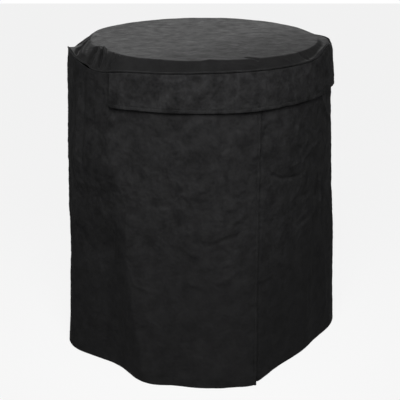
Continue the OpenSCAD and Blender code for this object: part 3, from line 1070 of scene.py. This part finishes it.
@dataclass
class SkirtPanel:
    """One half of the flared skirt, with its vent, turned hem and lapped edges."""

    shape: CoverShape
    relief: SkirtRelief
    panel: Panel
    material: bpy.types.Material
    vent: Spot
    lap_edge: TurnedEdge = field(default_factory=lambda: TurnedEdge(7.0, 2.4, 0.9, 1.2))
    lap_step: float = 1.4
    lap_hollow: float = 2.4
    ripple: float = 0.35
    stitch_groove: float = 0.15

    def columns(self) -> Array:
        """Give the azimuths of the columns, before the seams lean."""
        seam, turn = self.shape.seam_azimuth, self.shape.lap_turn
        if self.panel is Panel.FRONT:
            marks = (seam - 180, seam - 177.5, -100, seam - 2.4, seam)
            return graded(marks, (0.22, REAR_STEP, FRONT_STEP, 0.2), self.vent)
        marks = (seam - turn, seam + 2.2, 102, seam + 178, seam + 180 + turn)
        return graded(marks, (0.25, FRONT_STEP, REAR_STEP, 0.3), self.vent)

    def rows(self) -> Array:
        """Give the falls of the rows."""
        high = self.shape.welt_height
        top, hem = self.shape.top_edge / high, 1.0 - self.shape.hem_height / high
        fine = 1.2 / high
        return graded((top, hem - 3 * fine, hem + 3 * fine, 1.0 - 3 * fine, 1.0),
                      (ROW_STEP / high, fine, ROW_STEP / high, fine), self.shape.vent_falls)

    def outside(self, column: Array, fall: Array) -> Tuple[Array, Array]:
        """Give the azimuth and the reach of the panel's outer side.

        Args:
            column: Azimuth of each point's column at the welt.
            fall: Fall of each point.

        Returns:
            The azimuths and the reaches.
        """
        shape = self.shape
        azimuth = column + shape.seam_lean * fall
        lift = self.relief.lift(azimuth, fall)
        lift = lift - self.hem_groove(fall)
        reach = shape.skirt_reach(azimuth, fall) + lift
        degree = shape.degree
        front_edge, rear_edge = shape.seam_azimuth, shape.seam_azimuth + 180
        ripple = self.ripple * np.sin(fall * shape.welt_height * 2 * math.pi / 19.0 + 5.0 * fall)
        if self.panel is Panel.FRONT:
            ahead, behind = (front_edge - column) * degree, (column - rear_edge + 360) * degree
            near = np.minimum(ahead, behind)
            reach = reach + shape.kick(azimuth, fall) + self.lap_edge.relief(near)
            return azimuth, reach + ripple * np.exp(-np.square(near / 16.0)) * smooth(fall / 0.1)
        buried = 1 - smooth((column - front_edge) / self.lap_step) * smooth((rear_edge - column) / self.lap_step)
        turned = self.shape.cloth * smooth((fall - 1 + shape.hem_height / shape.welt_height) * 500)
        beyond = np.minimum(column - front_edge, rear_edge - column) * degree
        hollow = self.lap_hollow * np.exp(-np.square(beyond / 6.0)) * smooth(fall / 0.14)
        reach = reach - buried * (shape.tuck + turned) - hollow
        return azimuth, reach + ripple * np.exp(-np.square(beyond / 18.0))

    def hem_groove(self, fall: Array) -> Array:
        """Give the depth of the groove at the hem's stitches."""
        off = (1.0 - fall) * self.shape.welt_height - self.shape.hem_height + 2.0
        return self.stitch_groove * np.exp(-np.square(off / 1.7))

    def grid(self) -> Tuple[Array, Array, Array, Array]:
        """Give the columns and falls of the mesh, and the points of both sides."""
        column, fall = np.meshgrid(self.columns(), self.rows(), indexing="ij")
        azimuth, reach = self.outside(column, fall)
        z = self.shape.skirt_z(azimuth, fall)
        doubled = smooth((fall - 1.0 + self.shape.hem_height / self.shape.welt_height) * 500)
        outer = self.shape.place(reach, azimuth, z)
        inner = self.shape.place(reach - self.shape.cloth * (1.0 + doubled), azimuth, z)
        return column, fall, outer, inner

    def build(self) -> bpy.types.Object:
        """Make the panel with its vent left open."""
        column, fall, outer, inner = self.grid()
        middle_column = 0.5 * (column[1:, 1:] + column[:-1, 1:])
        middle_fall = 0.5 * (fall[1:, 1:] + fall[1:, :-1])
        low, high = self.shape.vent_falls
        opened = (middle_column > self.vent[0]) & (middle_column < self.vent[1])
        opened &= (middle_fall > low) & (middle_fall < high)
        name = f"{self.panel.value}_skirt_cloth"
        return ClothMesh(outer, inner, ~opened).build(name, self.material)

    def line(self, columns: Array, falls: Array) -> Tuple[Array, Array]:
        """Give a line on the panel's outer side and the way out from it."""
        azimuth, reach = self.outside(columns, falls)
        line = self.shape.place(reach, azimuth, self.shape.skirt_z(azimuth, falls))
        return line, self.shape.outward(azimuth)


@dataclass
class VentFlap:
    """The long flap that hangs from the welt over both vents."""

    shape: CoverShape
    material: bpy.types.Material
    noise: CrinkleNoise = field(default_factory=lambda: CrinkleNoise(19))
    standoff: float = 6.0
    end_standoff: float = 1.8
    gap: float = 0.6
    edge: TurnedEdge = field(default_factory=lambda: TurnedEdge(9.0, 0.5, 0.6, 0.5))
    thickness: float = 1.2
    turning: float = 0.9
    puff: float = 0.6
    end_dip: Spot = (1.0, 2.4)
    end_round: float = 2.4
    sag: float = 1.6

    def creases(self) -> List[Crease]:
        """Give the creases of the flap, in arc length and height."""
        unit = self.shape.wrap_degree
        return [
            Crease(((25 * unit, 830), (24.6 * unit, 742)), 1.6, 3.0, Profile.SHARP, 0.06),
            Crease(((-8 * unit, 760), (2 * unit, 800), (9 * unit, 822)), 1.8, 10),
            Crease(((4 * unit, 752), (12 * unit, 790), (19 * unit, 818)), -1.5, 9),
            Crease(((-30 * unit, 800), (-24 * unit, 770)), 1.5, 12),
            Crease(((-16 * unit, 812), (-12 * unit, 780)), -1.4, 9),
            Crease(((50 * unit, 842), (47 * unit, 800)), 1.6, 8),
            Crease(((60 * unit, 838), (64 * unit, 780)), -1.4, 9),
            Crease(((34 * unit, 836), (36 * unit, 800)), 1.2, 6),
        ]

    def lift(self, azimuth: Array, share: Array) -> Array:
        """Give how far the flap's inside stands off the plain skirt."""
        start, end = self.shape.flap_span
        to_end = (2 * azimuth - start - end) / (end - start)
        return self.gap + self.standoff * np.sqrt(share) + self.end_standoff * np.abs(to_end)

    def end_distance(self, azimuth: Array) -> Array:
        """Give the distance to the nearer end of the flap."""
        start, end = self.shape.flap_span
        return np.minimum(azimuth - start, end - azimuth) * self.shape.degree

    def edge_distance(self, azimuth: Array, share: Array) -> Array:
        """Give the distance to the turned lower edge, cut short at the ends' own stitches."""
        ends = self.end_distance(azimuth)
        return np.minimum(ends + self.edge.width, (1.0 - share) * self.shape.flap_height)

    def outside(self, azimuth: Array, share: Array) -> Array:
        """Give the points of the flap's outer side.

        Args:
            azimuth: Azimuth of each point.
            share: Share of the way down the flap.

        Returns:
            The points, in the last axis.
        """
        shape = self.shape
        fall = shape.flap_fall(azimuth, share)
        z = shape.skirt_z(azimuth, fall)
        spot = shape.place(np.full(azimuth.shape, shape.wrap_radius), azimuth, z)
        drop = share * shape.flap_height
        free = smooth(drop / 14.0)
        rise = 1.5 * self.noise.at(spot, (80, 80, 130)) + 1.3 * self.noise.ridged(spot, (38, 38, 38))
        rise = rise + 0.8 * self.noise.ridged(spot, (18, 18, 18))
        rise = rise + 0.9 * self.noise.at(spot, (13, 13, 90)) * np.exp(-drop / 26.0)
        for crease in self.creases():
            rise = rise + crease.relief(azimuth * shape.wrap_degree, z)
        rise = free * (rise + self.puff) + self.edge.relief(self.edge_distance(azimuth, share))
        top_dip, more = self.end_dip
        dipped = top_dip + more * smooth(share / 0.3)
        rise = rise - dipped * np.exp(-np.square(self.end_distance(azimuth) / self.end_round))
        reach = shape.skirt_reach(azimuth, fall) + self.lift(azimuth, share) + self.thickness + rise
        sag = self.sag * self.noise.at(spot, (150, 150, 400)) * share
        return shape.place(reach, azimuth, z + sag)

    def build(self) -> bpy.types.Object:
        """Make the flap."""
        start, end = self.shape.flap_span
        azimuths = graded((start, start + 2.2, end - 2.2, end), (0.18, 0.45, 0.18))
        shares = graded((0.0, 0.06, 0.84, 1.0), (0.016, 0.032, 0.0125))
        azimuth, share = np.meshgrid(azimuths, shares, indexing="ij")
        outer = self.outside(azimuth, share)
        way = self.shape.outward(azimuth)
        near = self.edge_distance(azimuth, share)
        thick = self.thickness + self.turning * (near < self.edge.width)
        piece = ClothMesh(outer, outer - way * thick[..., None]).build("vent_flap_cloth", self.material)
        return self.hang(piece)

    def hang(self, piece: bpy.types.Object) -> bpy.types.Object:
        """Let a piece of the flap bend from the welt as the flap lifts."""
        middle = 0.5 * sum(self.shape.flap_span)
        top = self.outside(np.array([middle]), np.array([0.03]))[0]
        turn = math.radians(middle)
        down = self.shape.flap_height * 0.86
        low = top + np.array([0.4 * down * math.sin(turn), -0.4 * down * math.cos(turn), -down])
        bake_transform(piece, "cover", "vent_flap", tuple(top * MILLIMETRE), tuple(low * MILLIMETRE))
        return piece

    def hem_line(self) -> Tuple[Array, Array]:
        """Give the line of the stitches along the flap's lower edge."""
        start, end = self.shape.flap_span
        azimuth = np.linspace(start + 0.6, end - 0.6, 420)
        share = np.full(azimuth.shape, 1.0 - self.edge.width / self.shape.flap_height)
        way = self.shape.outward(azimuth)
        return self.outside(azimuth, share) + 0.15 * way, way


@dataclass
class VentNet:
    """A fine net sewn behind one vent."""

    shape: CoverShape
    name: str
    vent: Spot
    material: bpy.types.Material
    pitch: float = 4.6
    strand: float = 1.1
    border: float = 6.0
    thickness: float = 0.7
    behind: float = 0.5

    def lines(self, low: float, high: float, unit: float) -> Array:
        """Give the edges of the net's strands and borders along one direction."""
        count = max(2, int(round((high - low) / unit / self.pitch)))
        step = (high - low) / count
        half = self.strand * unit / 2
        inner = [value for k in range(count) for value in (low + k * step + half, low + (k + 1) * step - half)]
        return np.array([low - self.border * unit, *inner, high + self.border * unit])

    def build(self) -> bpy.types.Object:
        """Make the net."""
        shape = self.shape
        columns = self.lines(self.vent[0], self.vent[1], 180 / math.pi / shape.welt_circle)
        rows = self.lines(shape.vent_falls[0], shape.vent_falls[1], 1.0 / shape.welt_height)
        azimuth, fall = np.meshgrid(columns, rows, indexing="ij")
        z = shape.skirt_z(azimuth, fall)
        reach = shape.skirt_reach(azimuth, fall) - shape.cloth - self.behind
        outer = shape.place(reach, azimuth, z)
        inner = shape.place(reach - self.thickness, azimuth, z)
        i, j = np.meshgrid(np.arange(len(columns) - 1), np.arange(len(rows) - 1), indexing="ij")
        kept = (i % 2 == 0) | (j % 2 == 0)
        return ClothMesh(outer, inner, kept).build(self.name, self.material)


# ---- Studio ----


@dataclass(frozen=True)
class SoftLamp:
    """A soft square lamp that looks at a point through a honeycomb grid."""

    name: str
    place: Triple
    aim: Triple
    size: float
    power: float
    spread: float

    def build(self) -> None:
        """Hang the lamp."""
        data = bpy.data.lights.new(self.name, "AREA")
        data.shape, data.size, data.energy = "SQUARE", self.size, self.power
        data.spread = math.radians(self.spread)
        lamp = bpy.data.objects.new(self.name, data)
        lamp.location = self.place
        way = np.subtract(self.aim, self.place)
        flat = math.hypot(way[0], way[1])
        lamp.rotation_euler = (math.atan2(flat, -way[2]), 0.0, math.atan2(-way[0], way[1]))
        bpy.context.scene.collection.objects.link(lamp)


@dataclass
class Studio:
    """The camera, the pale floor and the plain soft light, in metres."""

    camera_place: Triple = (-0.003, -2.184, 1.244)
    camera_pitch: float = 21.62
    lens: float = 71.47
    sensor: float = 36.0
    lamps: Tuple[SoftLamp, ...] = (
        SoftLamp("key_lamp", (0.0, -1.3, 1.55), (-0.01, -0.1, 0.4), 1.0, 7.4, 80.0),
        SoftLamp("left_lamp", (-1.2, -0.9, 1.55), (-0.25, -0.2, 0.75), 0.6, 0.35, 45.0),
        SoftLamp("right_lamp", (1.2, -0.9, 1.55), (0.25, -0.2, 0.75), 0.6, 0.35, 45.0),
    )
    world_light: float = 0.2
    floor_size: float = 14.0
    floor_shade: float = 0.72
    floor_white: float = 0.86
    covered_floor: Spot = (0.29, 0.33)

    def camera(self) -> None:
        """Place the camera at the photograph's viewing angle."""
        data = bpy.data.cameras.new("studio_camera")
        data.lens, data.sensor_width = self.lens, self.sensor
        camera = bpy.data.objects.new("studio_camera", data)
        camera.location = self.camera_place
        camera.rotation_euler = (math.radians(90.0 - self.camera_pitch), 0.0, 0.0)
        bpy.context.scene.collection.objects.link(camera)
        bpy.context.scene.camera = camera

    def seen_white(self, tree: bpy.types.NodeTree) -> bpy.types.NodeSocket:
        """Give 1 for camera, glossy and transmission rays."""
        path = tree.nodes.new("ShaderNodeLightPath")
        first, second = tree.nodes.new("ShaderNodeMath"), tree.nodes.new("ShaderNodeMath")
        first.operation = second.operation = "MAXIMUM"
        tree.links.new(path.outputs["Is Camera Ray"], first.inputs[0])
        tree.links.new(path.outputs["Is Glossy Ray"], first.inputs[1])
        tree.links.new(first.outputs[0], second.inputs[0])
        tree.links.new(path.outputs["Is Transmission Ray"], second.inputs[1])
        return second.outputs[0]

    def world(self) -> None:
        """Make the world: white where it is seen, plain where it lights."""
        world = bpy.data.worlds.new("studio_world")
        bpy.context.scene.world = world
        world.use_nodes = True
        tree = world.node_tree
        tree.nodes.clear()
        seen, plain = tree.nodes.new("ShaderNodeBackground"), tree.nodes.new("ShaderNodeBackground")
        seen.inputs["Color"].default_value = plain.inputs["Color"].default_value = (1, 1, 1, 1)
        plain.inputs["Strength"].default_value = self.world_light
        mix, output = tree.nodes.new("ShaderNodeMixShader"), tree.nodes.new("ShaderNodeOutputWorld")
        tree.links.new(self.seen_white(tree), mix.inputs[0])
        tree.links.new(plain.outputs[0], mix.inputs[1])
        tree.links.new(seen.outputs[0], mix.inputs[2])
        tree.links.new(mix.outputs[0], output.inputs[0])

    def floor(self) -> None:
        """Lay the pale floor: it keeps a faint shadow, and is dark inside the cover."""
        half = self.floor_size / 2
        mesh = bpy.data.meshes.new("studio_floor")
        corners = [(-half, -half, 0), (half, -half, 0), (half, half, 0), (-half, half, 0)]
        mesh.from_pydata(corners, [], [(0, 1, 2, 3)])
        floor = bpy.data.objects.new("studio_floor", mesh)
        bpy.context.scene.collection.objects.link(floor)
        sheet = NodeSheet("pale_floor")
        pale = sheet.add("ShaderNodeBsdfDiffuse", {"Color": (*[self.floor_shade] * 3, 1.0)})
        white = sheet.add("ShaderNodeEmission", {"Color": (1, 1, 1, 1), "Strength": 1.0})
        place = sheet.add("ShaderNodeTexCoord").outputs["Object"]
        away = sheet.add("ShaderNodeVectorMath", {0: place}, operation="LENGTH").outputs["Value"]
        white_share = sheet.ranged(away, 0.0, self.floor_white, *self.covered_floor)
        share = sheet.math("MULTIPLY", self.seen_white(sheet.tree), white_share)
        mix = sheet.add("ShaderNodeMixShader", {0: share, 1: pale.outputs[0], 2: white.outputs[0]})
        sheet.tree.links.new(mix.outputs[0], sheet.output.inputs[0])
        mesh.materials.append(sheet.material)
        floor.location.z = -0.001

    def build(self) -> None:
        """Set up the studio."""
        self.camera()
        self.world()
        self.floor()
        for lamp in self.lamps:
            lamp.build()
        bpy.context.scene.view_settings.view_transform = "Standard"


# ---- The whole cover ----


@dataclass
class FittedCover:
    """The cover: its cloths, nets and stitches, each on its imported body."""

    shape: CoverShape = field(default_factory=CoverShape)
    front_vent: Spot = (-32.0, 16.0)
    side_vent: Spot = (33.0, 85.0)
    stitches: StitchRow = field(default_factory=StitchRow)

    def dress(self, piece: bpy.types.Object, node: str = "") -> bpy.types.Object:
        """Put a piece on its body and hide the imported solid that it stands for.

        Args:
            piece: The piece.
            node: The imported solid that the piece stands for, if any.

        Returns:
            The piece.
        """
        if "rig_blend" not in piece:
            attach(piece, "cover")
        if node:
            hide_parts(node)
        LOG.info("%s: %d faces", piece.name, len(piece.data.polygons))
        return piece

    def build(self) -> None:
        """Build every piece of the cover."""
        shape = self.shape
        relief = SkirtRelief(shape)
        skirt_cloth = CoatedCloth("skirt_cloth").build()
        flap_cloth = CoatedCloth("flap_cloth", shade=0.0147, mottle=0.42, crumple=0.0034).build()
        # Same cloth as the skirt, with its shade painted darker: painted shade that darkens the top and its
        # sloping band where the lamp lights them.
        top_cloth = CoatedCloth("top_cloth", lay=Lay.FLAT, shade=0.0065, roughness=0.48, gloss=0.115,
                                steep_rough=0.42, worn_rough=0.15, mottle=0.2, crumple=0.0018).build()
        # Same cloth as the skirt, painted a little darker: painted shade that dims the lit line along the welt's
        # ridge.
        welt_cloth = CoatedCloth("welt_cloth", shade=0.0115, gloss=0.05, roughness=0.7).build()
        netting = VentNetting("vent_net").build()
        thread = SewingThread("thread").build()

        top = self.dress(TopPanel(shape, top_cloth).build(), "top_panel")
        welt = self.dress(Welt(shape, welt_cloth).build(), "top_welt")
        front = SkirtPanel(shape, relief, Panel.FRONT, skirt_cloth, self.front_vent)
        rear = SkirtPanel(shape, relief, Panel.REAR, skirt_cloth, self.side_vent)
        front_cloth = self.dress(front.build(), "skirt_front_panel")
        rear_cloth = self.dress(rear.build(), "skirt_rear_panel")
        flap = VentFlap(shape, flap_cloth)
        flap_cloth_piece = self.dress(flap.build(), "vent_flap")
        for name, vent, node in (
            ("front_net_cloth", self.front_vent, "front_vent_net"),
            ("side_net_cloth", self.side_vent, "side_vent_net"),
        ):
            net = self.dress(VentNet(shape, name, vent, netting).build(), node)
        self.sew(front, rear, flap, thread)

    def sew(self, front: SkirtPanel, rear: SkirtPanel, flap: VentFlap, thread: bpy.types.Material) -> None:
        """Add the rows of stitches.

        Args:
            front: The front panel of the skirt.
            rear: The rear panel of the skirt.
            flap: The vent flap.
            thread: Finish of the thread.
        """
        shape = self.shape
        hem_stitches = self.stitches.build("flap_stitches", [flap.hem_line()], thread)
        self.dress(flap.hang(hem_stitches))
        falls = np.linspace(0.012, 0.99, 400)
        rows = []
        for edge in (shape.seam_azimuth, shape.seam_azimuth - 180):
            way = -1.0 if edge > 0 else 1.0
            column = edge + way * front.lap_edge.width / shape.degree
            rows.append(front.line(np.full(falls.shape, column), falls))
        self.dress(self.stitches.build("seam_stitches", rows, thread))
        low = np.full(900, 1.0 - (shape.hem_height - 2.0) / shape.welt_height)
        seam = shape.seam_azimuth
        hem_rows = [
            front.line(np.linspace(seam - 179.5, seam - 0.5, len(low)), low),
            rear.line(np.linspace(seam + 1.6, seam + 178.4, len(low)), low),
        ]
        self.dress(self.stitches.build("hem_stitches", hem_rows, thread))


def main() -> None:
    """Build the studio and the cover."""
    Studio().build()
    FittedCover().build()


if __name__ == "__main__":
    logging.basicConfig(level=logging.INFO)
    main()
